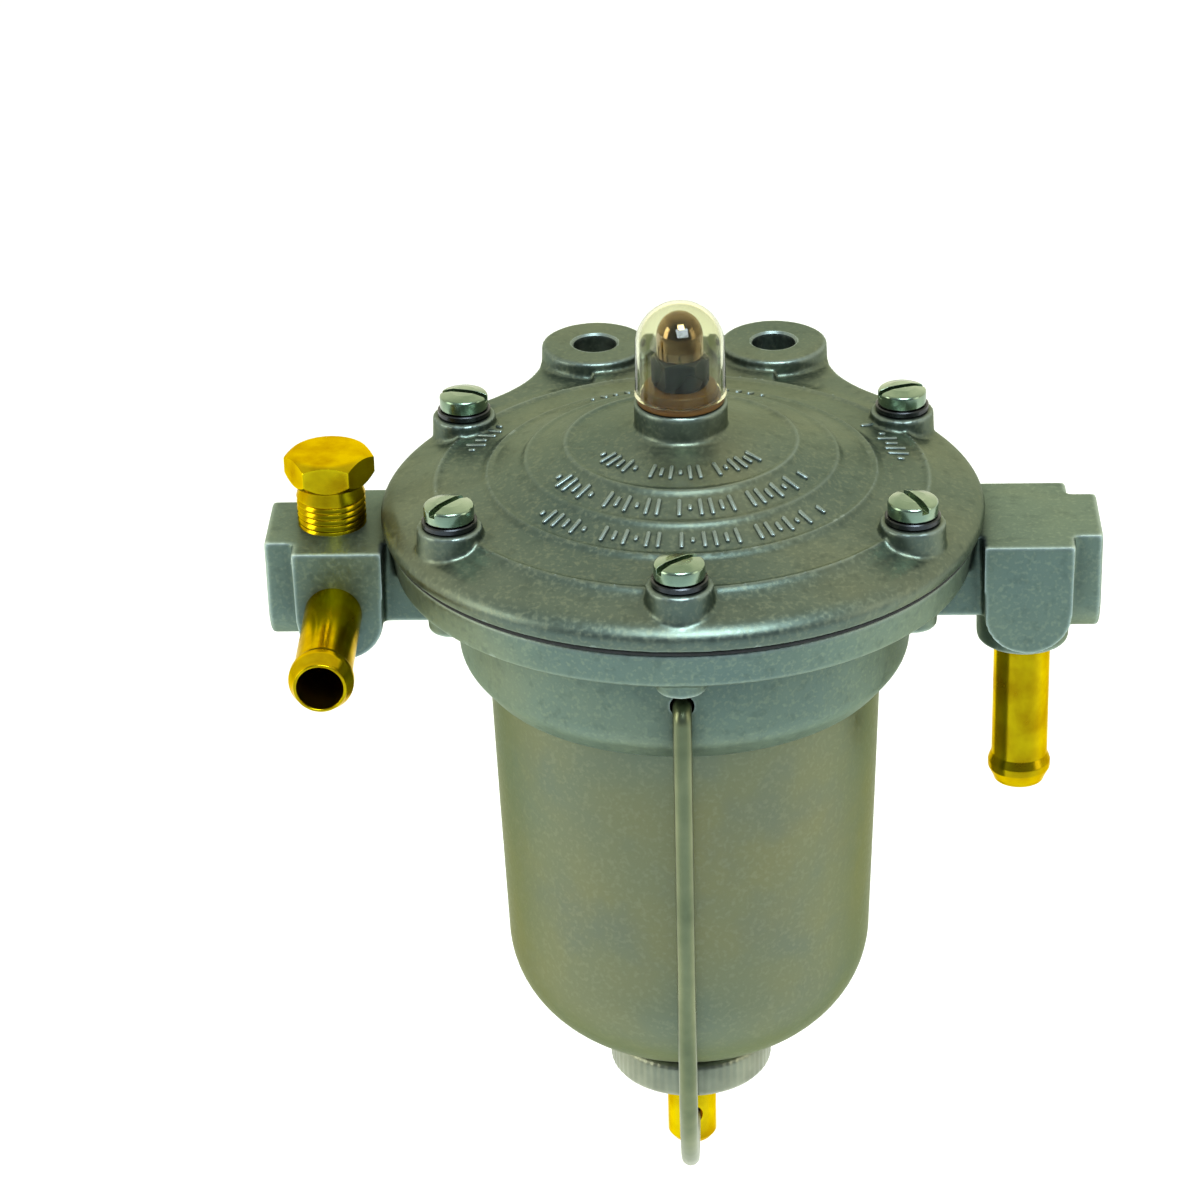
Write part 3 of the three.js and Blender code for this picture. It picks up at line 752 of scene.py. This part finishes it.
def body_outline():
    """The section of the flange, the skirt round the bowl and the chamber over it."""
    chamber = [(4.8, -6.5), (24, -6.5), (29, -3), (29, -JOINT_FACE)]
    flange = [(41.3, -JOINT_FACE, 0.4), (40.6, -5.3, 0.5), (39.6, -6, 0.8), (32.8, -6.1, 1.0)]
    skirt = [(32.1, -7.6, 0.8), (32.0, -19.0, 4.0), (28.3, -23.6, 0.5), (28.2, -11.2)]
    stem = [(8, -11.2), (8, -15.6), (4.8, -15.6)]
    return filleted(chamber + flange + skirt + stem)


def add_port_arms(bm):
    """On each side: a block along Y, its end along X and the arm that joins it to the body."""
    low, high = in_mm("main_body")
    port = middle("inlet_union").x
    for side in (-1, 1):
        across = [(side * port + a, z) for a, z in u_shape(6.1, BLOCK_BOTTOM, -JOINT_FACE)]
        prism(bm, across, -BLOCK_HALF_DEPTH, BLOCK_HALF_DEPTH, "y")
        outer = high.x if side > 0 else low.x
        start, end = sorted((side * port, outer))
        prism(bm, u_shape(6.5, BLOCK_BOTTOM, -JOINT_FACE), start, end, "x")
        start, end = sorted((side * 33, side * port))
        prism(bm, [(-6.6, -13), (6.6, -13), (6.8, -JOINT_FACE), (-6.8, -JOINT_FACE)], start, end, "x")
    boss = [(0, INLET_SEAT), (6.5, INLET_SEAT, 0.4), (6.7, -10), (0, -10)]
    lathe(bm, filleted(boss), 64, (port, 0))


def add_body():
    bm = bmesh.new()
    lathe(bm, body_outline(), sides=144)
    for x, y, _ in SCREWS:
        lathe(bm, filleted([(0, -7.9), (3.5, -7.9, 0.4), (3.6, -1), (0, -1)]), 40, (x, y))
    add_port_arms(bm)
    body = add_object("body_casting", bm)
    cast(body, 0.34, 6)
    holes = bmesh.new()
    for side in (-1, 1):
        prism(holes, circle(0, PIVOT_Z, PIVOT_HOLE_R, steps=32), side * 31 - 2.4, side * 31 + 2.4, "y")
    combine(body, add_object("holes", holes), "DIFFERENCE")
    finish_piece(body, "body", "housing", "cast_alloy", "main_body")


# ---------------------------------------------------------------- the bowl and its clamp
TAPER_END = -65.2


def bowl_corner(start, floor, count):
    """The bowl's round lower corner, from radius start down to the floor's middle.

    It stays inside a ball about the bail's pivot, so that the clamp swings clear of it.
    """
    flat_r, fullness = 5, 0.95
    ball = PIVOT_Z - floor
    points = []
    for i in range(1, count + 1):
        a = i / count * math.pi / 2
        r = flat_r + (start - flat_r) * math.cos(a)
        z = TAPER_END + (floor - TAPER_END) * math.sin(a) ** fullness
        points.append((r, max(z, PIVOT_Z - math.sqrt(ball * ball - r * r))))
    return points


def bowl_outline():
    low, high = in_mm("bowl")
    bottom, rim, wall, end_r = low.z, high.z, 2.4, 26.5
    outside = bowl_corner(end_r, bottom, 24)
    inside = bowl_corner(end_r - wall, bottom + wall, 16)[::-1]
    taper = [(27.6, rim), (27.9, rim - 0.4), (27.85, -24), (27.2, -45), (end_r, TAPER_END)]
    floor = [(0, bottom), (0, bottom + wall)]
    return [(27.9 - wall, rim), *taper, *outside, *floor, *inside, (end_r - wall, TAPER_END)]


def add_clamp_nut():
    """The round nut, with a fine straight knurl round its edge."""
    low, high = in_mm("clamp_nut")
    outer = high.x
    bore, teeth, depth = 3.0, 64, 0.06
    underside = [(bore, low.z), (outer - 1.2, low.z), (outer - 0.5, low.z + 0.25)]
    edge = [(outer - 0.1, low.z + 0.75), (outer, low.z + 1.2)]
    edge += [(outer, high.z - 1.0), (outer - 0.1, high.z - 0.6)]
    top = [(outer - 0.45, high.z - 0.2), (outer - 1.0, high.z), (bore, high.z)]
    knurled = range(len(underside), len(underside) + len(edge))

    def knurl(level, i):
        return -depth if level in knurled and i % 4 in (2, 3) else 0

    bm = bmesh.new()
    lathe(bm, underside + edge + top, teeth * 4, wobble=knurl)
    nut = add_object("knurled_nut", bm, sharp=50)
    finish_piece(nut, "pale_zinc", "clamp_nut", "zinc_bright", "clamp_nut")


def add_clamp():
    """The stud, drilled across for the wire and threaded above, and the nut on it."""
    low, high = in_mm("clamp_stud")
    shoulder, thread_r = -95, 2.85
    foot = [(0, low.z), (3.0, low.z, 0.3), (3.65, low.z + 0.9, 0.3)]
    foot += [(3.65, shoulder, 0.3), (thread_r, shoulder)]
    ridges = thread(shoulder + 0.4, high.z - 0.8, thread_r, 1.0)
    tip = [(thread_r, high.z - 0.5), (2.4, high.z), (0, high.z)]
    bm = bmesh.new()
    lathe(bm, filleted(foot + ridges + tip), 64)
    stud = add_object("brass_stud", bm)
    hole = bmesh.new()
    prism(hole, circle(0, BAIL_HOLE_Z, 1.65, steps=32), -6, 6, "y")
    combine(stud, add_object("hole", hole), "DIFFERENCE")
    finish_piece(stud, "brass", "bail", "brass", "clamp_stud")
    add_clamp_nut()


def thread(low, high, radius, pitch, depth=0.28):
    """Ridges of a fine thread, as an outline that goes up from low to high."""
    points = []
    for i in range(int((high - low) / pitch)):
        z = low + i * pitch
        points += [(radius - depth, z + 0.1 * pitch), (radius, z + 0.45 * pitch), (radius, z + 0.6 * pitch)]
    return points


def add_bail():
    """The wire: each end turned into the skirt, two legs and a wide bend below the nut."""
    low, high = in_mm("bail_wire")
    radius = (high.x - low.x) / 2
    leg_y = high.y - radius
    hook, bend, bottom = 1.9, 28.0, low.z + radius
    front = [(29.6, PIVOT_Z), (30.6, PIVOT_Z)]
    front += circle(leg_y - hook, PIVOT_Z - hook, hook, 90, 0, 10)
    front += circle(leg_y - bend, bottom + bend, bend, 0, -90, 30)
    half = [Vector((0, -y, z)) for y, z in front]
    path = half + [Vector((0, -p.y, p.z)) for p in reversed(half)]
    bm = bmesh.new()
    tube(bm, path, radius, 24)
    finish_piece(add_object("wire_bail", bm), "wire", "bail", "zinc_bright", "bail_wire")


# ---------------------------------------------------------------- unions, plug, nuts and screws
def hose_union(inside, outside):
    """A hose union's outline, from its inner end at -inside to its free end at outside."""
    return filleted([
        (2.8, -inside), (4.0, -inside), (4.0, 0), (4.0, outside - 4.3, 0.6), (4.48, outside - 3.0, 0.8),
        (4.48, outside - 2.0, 0.7), (3.75, outside - 0.5, 0.3), (3.6, outside, 0.15), (3.2, outside, 0.12),
        (3.2, outside - 6), (2.8, outside - 7),
    ])


def add_union(side, inside, outside, place):
    """One hose union, drawn pointing up and moved to its place."""
    bm = bmesh.new()
    lathe(bm, hose_union(inside, outside), 72)
    union = add_object(f"{side}_hose_union", bm, place)
    finish_piece(union, "brass", "housing", "brass", f"{side}_union")


def add_unions():
    low, high = in_mm("inlet_union")
    centre = middle("inlet_union")
    down = Matrix.Translation((centre.x, centre.y, INLET_SEAT)) @ Matrix.Rotation(math.pi, 4, "X")
    add_union("inlet", high.z - INLET_SEAT, INLET_SEAT - low.z, down)
    low, high = in_mm("outlet_union")
    centre = middle("outlet_union")
    seat = -BLOCK_HALF_DEPTH
    forward = Matrix.Translation((centre.x, seat, centre.z)) @ Matrix.Rotation(math.pi / 2, 4, "X")
    add_union("outlet", high.y - seat, seat - low.y, forward)


def hexagon(across_flats):
    """Corners of a hexagon with flats facing front and back."""
    return circle(0, 0, across_flats / math.sqrt(3), 0, 360, 6)


def add_plug():
    """The hexagon head with its crown turned off at the corners, and the threaded shank below it."""
    low, high = in_mm("gauge_port_plug")
    centre = middle("gauge_port_plug")
    bottom, top = 6.2, high.z
    side = [(5.3, bottom), (6.45, 7.5, 0.4), (6.45, top - 1.0, 0.9), (5.2, top - 0.05, 1.2)]
    head = bmesh.new()
    lathe(head, filleted([(0, bottom), *side, (0, top)]), 96)
    made = add_object("plug_head", head)
    flats = bmesh.new()
    prism(flats, hexagon(11), 5, top + 1)
    combine(made, add_object("flats", flats), "INTERSECT")
    soften(made, 0.15)
    move_mesh(made, Matrix.Translation((centre.x, centre.y, 0)))
    finish_piece(made, "brass", "housing", "brass", "gauge_port_plug")
    ridges = thread(low.z + 0.4, 5.2, 4.85, 0.907)
    shank = [(0, low.z), (4.3, low.z), *ridges, (4.45, 5.5), (4.45, 6.3), (0, 6.3)]
    turned_piece("plug_thread", shank, "brass", "housing", "brass", centre=(centre.x, centre.y), sides=72)


def add_lock_nut():
    low, high = in_mm("lock_nut")
    hex_top, dome_r, dome_base = 24.7, 3.25, 27.4
    side = [(3.6, low.z, 0.2), (4.1, low.z + 0.5, 0.2), (4.1, hex_top - 0.5, 0.3), (3.4, hex_top, 0.2)]
    bm = bmesh.new()
    lathe(bm, filleted([(0, low.z), *side, (0, hex_top)]), 64)
    nut = add_object("lock_nut_hexagon", bm)
    flats = bmesh.new()
    prism(flats, hexagon(7), low.z - 1, hex_top + 1)
    combine(nut, add_object("flats", flats), "INTERSECT")
    soften(nut, 0.12)
    # The hexagon is chrome like the dome but takes the dark steel colour: painted shade.
    finish_piece(nut, "dark_steel", "lock_nut", "chrome", "lock_nut")
    dome = [(0, hex_top - 0.3), (dome_r, hex_top - 0.3), (dome_r, dome_base)]
    dome += quarter(dome_r, dome_base, high.z - dome_base, range(9, 90, 9))
    turned_piece("lock_nut_dome", [*dome, (0, high.z)], "chrome", "lock_nut", "chrome", sides=64)


def add_sealing_washer():
    """The brown washer: a broad foot that the cap stands on and a step that fits inside the cap."""
    low, high = in_mm("fibre_washer")
    shoulder = in_mm("adjuster_cap")[0].z - 0.05
    foot = [(ADJUSTER_BORE_R, low.z), (6.1, low.z, 0.25), (6.1, shoulder, 0.15)]
    step = [(5.2, shoulder), (5.2, high.z, 0.3), (ADJUSTER_BORE_R, high.z)]
    outline = filleted([*foot, *step])
    turned_piece("brown_sealing_washer", outline, "fibre", "housing", "brown_fibre", "fibre_washer")


def add_cap():
    low, high = in_mm("adjuster_cap")
    round_z, outer_r, inner_r = 26.1, 6.2, 5.7
    lip = [(5.75, low.z), (6.4, low.z), (6.4, low.z + 0.5), (6.3, low.z + 1.2)]
    outside = quarter(outer_r, round_z, high.z - round_z, range(0, 90, 5))
    inside = quarter(inner_r, round_z, inner_r, range(85, -5, -5))
    wall = [*lip, *outside, (0, high.z), (0, round_z + inner_r), *inside]
    turned_piece("clear_cap", wall, "clear", "adjuster_cap", "clear_plastic", "adjuster_cap")


def add_screws():
    """Slotted cheese-head screws, each with its slot left at its own angle."""
    for i, (place, angle) in enumerate(zip(SCREWS, SLOT_ANGLES), start=1):
        low, high = in_mm(f"cover_screw_{i}")
        seat = in_mm(f"spring_washer_{i}")[1].z + 0.05
        shank = [(0, low.z), (2, low.z), (2, seat)]
        head = [(3.45, seat, 0.15), (3.45, high.z - 0.5, 0.5), (1.8, high.z - 0.05, 0.8), (0, high.z)]
        bm = bmesh.new()
        lathe(bm, filleted([*shank, *head]), 56)
        screw = add_object(f"slotted_screw_{i}", bm)
        slot = bmesh.new()
        prism(slot, [(-5, -0.5), (5, -0.5), (5, 0.5), (-5, 0.5)], high.z - 1.3, high.z + 1)
        combine(screw, add_object("slot", slot), "DIFFERENCE")
        soften(screw, 0.08, angle=50)
        turn = Matrix.Rotation(math.radians(angle), 4, "Z")
        move_mesh(screw, Matrix.Translation((place.x, place.y, 0)) @ turn)
        finish_piece(screw, "zinc", "housing", "zinc_bright", f"cover_screw_{i}")
        add_spring_washer(i, place, angle)


def washer_section(low, high):
    """A washer's section with its corners cut off, between two heights."""
    corners = [(2.35, 0.12), (2.5, 0.06), (3.65, 0.06), (3.8, 0.2)]  # radius, depth below the nearer face
    lower = [(r, low + depth) for r, depth in corners]
    upper = [(r, high - depth) for r, depth in reversed(corners)]
    return lower + upper


def add_spring_washer(i, place, angle):
    """A split washer, its section carried round with a slight twist so the ends stand apart."""
    low, high = in_mm(f"spring_washer_{i}")
    section = washer_section(low.z, high.z)
    corners, steps, gap, twist = len(section), 60, 14, 0.12
    bm = bmesh.new()
    rings = []
    for k in range(steps + 1):
        a = math.radians(angle + 90 + gap / 2 + (360 - gap) * k / steps)
        lift = twist * (k / steps - 0.5)
        points = [(place.x + r * math.cos(a), place.y + r * math.sin(a), z + lift) for r, z in section]
        rings.append([bm.verts.new(point) for point in points])
    for near, far in zip(rings, rings[1:]):
        for j in range(corners):
            following = (j + 1) % corners
            bm.faces.new((near[j], near[following], far[following], far[j]))
    bm.faces.new(rings[0][::-1])
    bm.faces.new(rings[-1])
    washer = add_object(f"split_washer_{i}", bm)
    finish_piece(washer, "dark_steel", "housing", "spring_steel", f"spring_washer_{i}")


# ---------------------------------------------------------------- springs, diaphragm and kept CAD pieces
def add_spring(name, node, thick, turns, fixed_top=False):
    """A coil spring with closed ends, drawn in its CAD node's box in place of the node."""
    low, high = in_mm(node)
    coil = (high.x - low.x) / 2 - thick
    rise = high.z - low.z - 2 * thick
    steps = round(turns * 28)
    path = []
    for i in range(steps + 1):
        t = i / steps
        a = 2 * math.pi * turns * t
        closed_ends = t * t * t * (t * (6 * t - 15) + 10)
        lift = (closed_ends + t) / 2
        path.append(Vector((coil * math.cos(a), coil * math.sin(a), low.z + thick + rise * lift)))
    bm = bmesh.new()
    tube(bm, path, thick, 14)
    spring = add_object(name, bm)
    spring.data.materials.append(MATERIALS["dark_steel"])
    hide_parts(node)
    ends = [TO_FRAME @ Vector((0, 0, low.z)), TO_FRAME @ Vector((0, 0, high.z))]
    if fixed_top:
        ends.reverse()
    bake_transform(spring)


def add_diaphragm():
    """The clamped rubber disc, with its middle as a piece of its own on the diaphragm_centre body."""
    middle_r = 13.2
    low, high = in_mm("diaphragm")
    edge_r = high.x - 0.02
    inner_r = middle_r + 0.05
    rim = filleted([(inner_r, low.z), (edge_r, low.z, 0.2), (edge_r, high.z, 0.2), (inner_r, high.z)])
    turned_piece("diaphragm_disc", rim, "rubber", "housing", "black_rubber", "diaphragm", sides=144)
    bore_r = 2.3
    inner = [(bore_r, low.z), (middle_r, low.z, 0.1), (middle_r, high.z, 0.1), (bore_r, high.z)]
    turned_piece("diaphragm_middle", filleted(inner), "rubber", "diaphragm_centre", "black_rubber")


KEPT_CAD = {  # the CAD nodes that are shown as they are, by material
    "rubber": ["bowl_gasket", "clamp_pad"],
    "zinc": [
        "upper_spring_seat", "adjusting_screw", "valve_poppet",
        "diaphragm_upper_plate", "diaphragm_lower_plate",
    ],
    "brass": ["diaphragm_rivet", "valve_seat", "valve_retainer"],
    "nylon": ["filter_top_cap", "filter_core", "filter_bottom_cap"],
    "paper": ["filter_paper"],
}


def finish_cad_nodes():
    for material, nodes in KEPT_CAD.items():
        for node in nodes:
            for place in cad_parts[node].material_slots:
                place.material = MATERIALS[material]


# ---------------------------------------------------------------- the model
add_camera()
add_world()
add_floor()
for softbox in SOFTBOXES:
    add_softbox(*softbox)

add_cover()
add_marks()
add_body()
add_diaphragm()
add_spring("regulator_coil", "regulator_spring", 0.55, 3.5)
add_spring("valve_coil", "valve_spring", 0.3, 4)
add_spring("filter_coil", "filter_spring", 0.7, 3, fixed_top=True)
turned_piece("filter_bowl", bowl_outline(), "bowl", "bowl", "bowl_metal", "bowl", sides=144)
add_clamp()
add_bail()
add_unions()
add_plug()
add_lock_nut()
add_sealing_washer()
add_cap()
add_screws()
finish_cad_nodes()
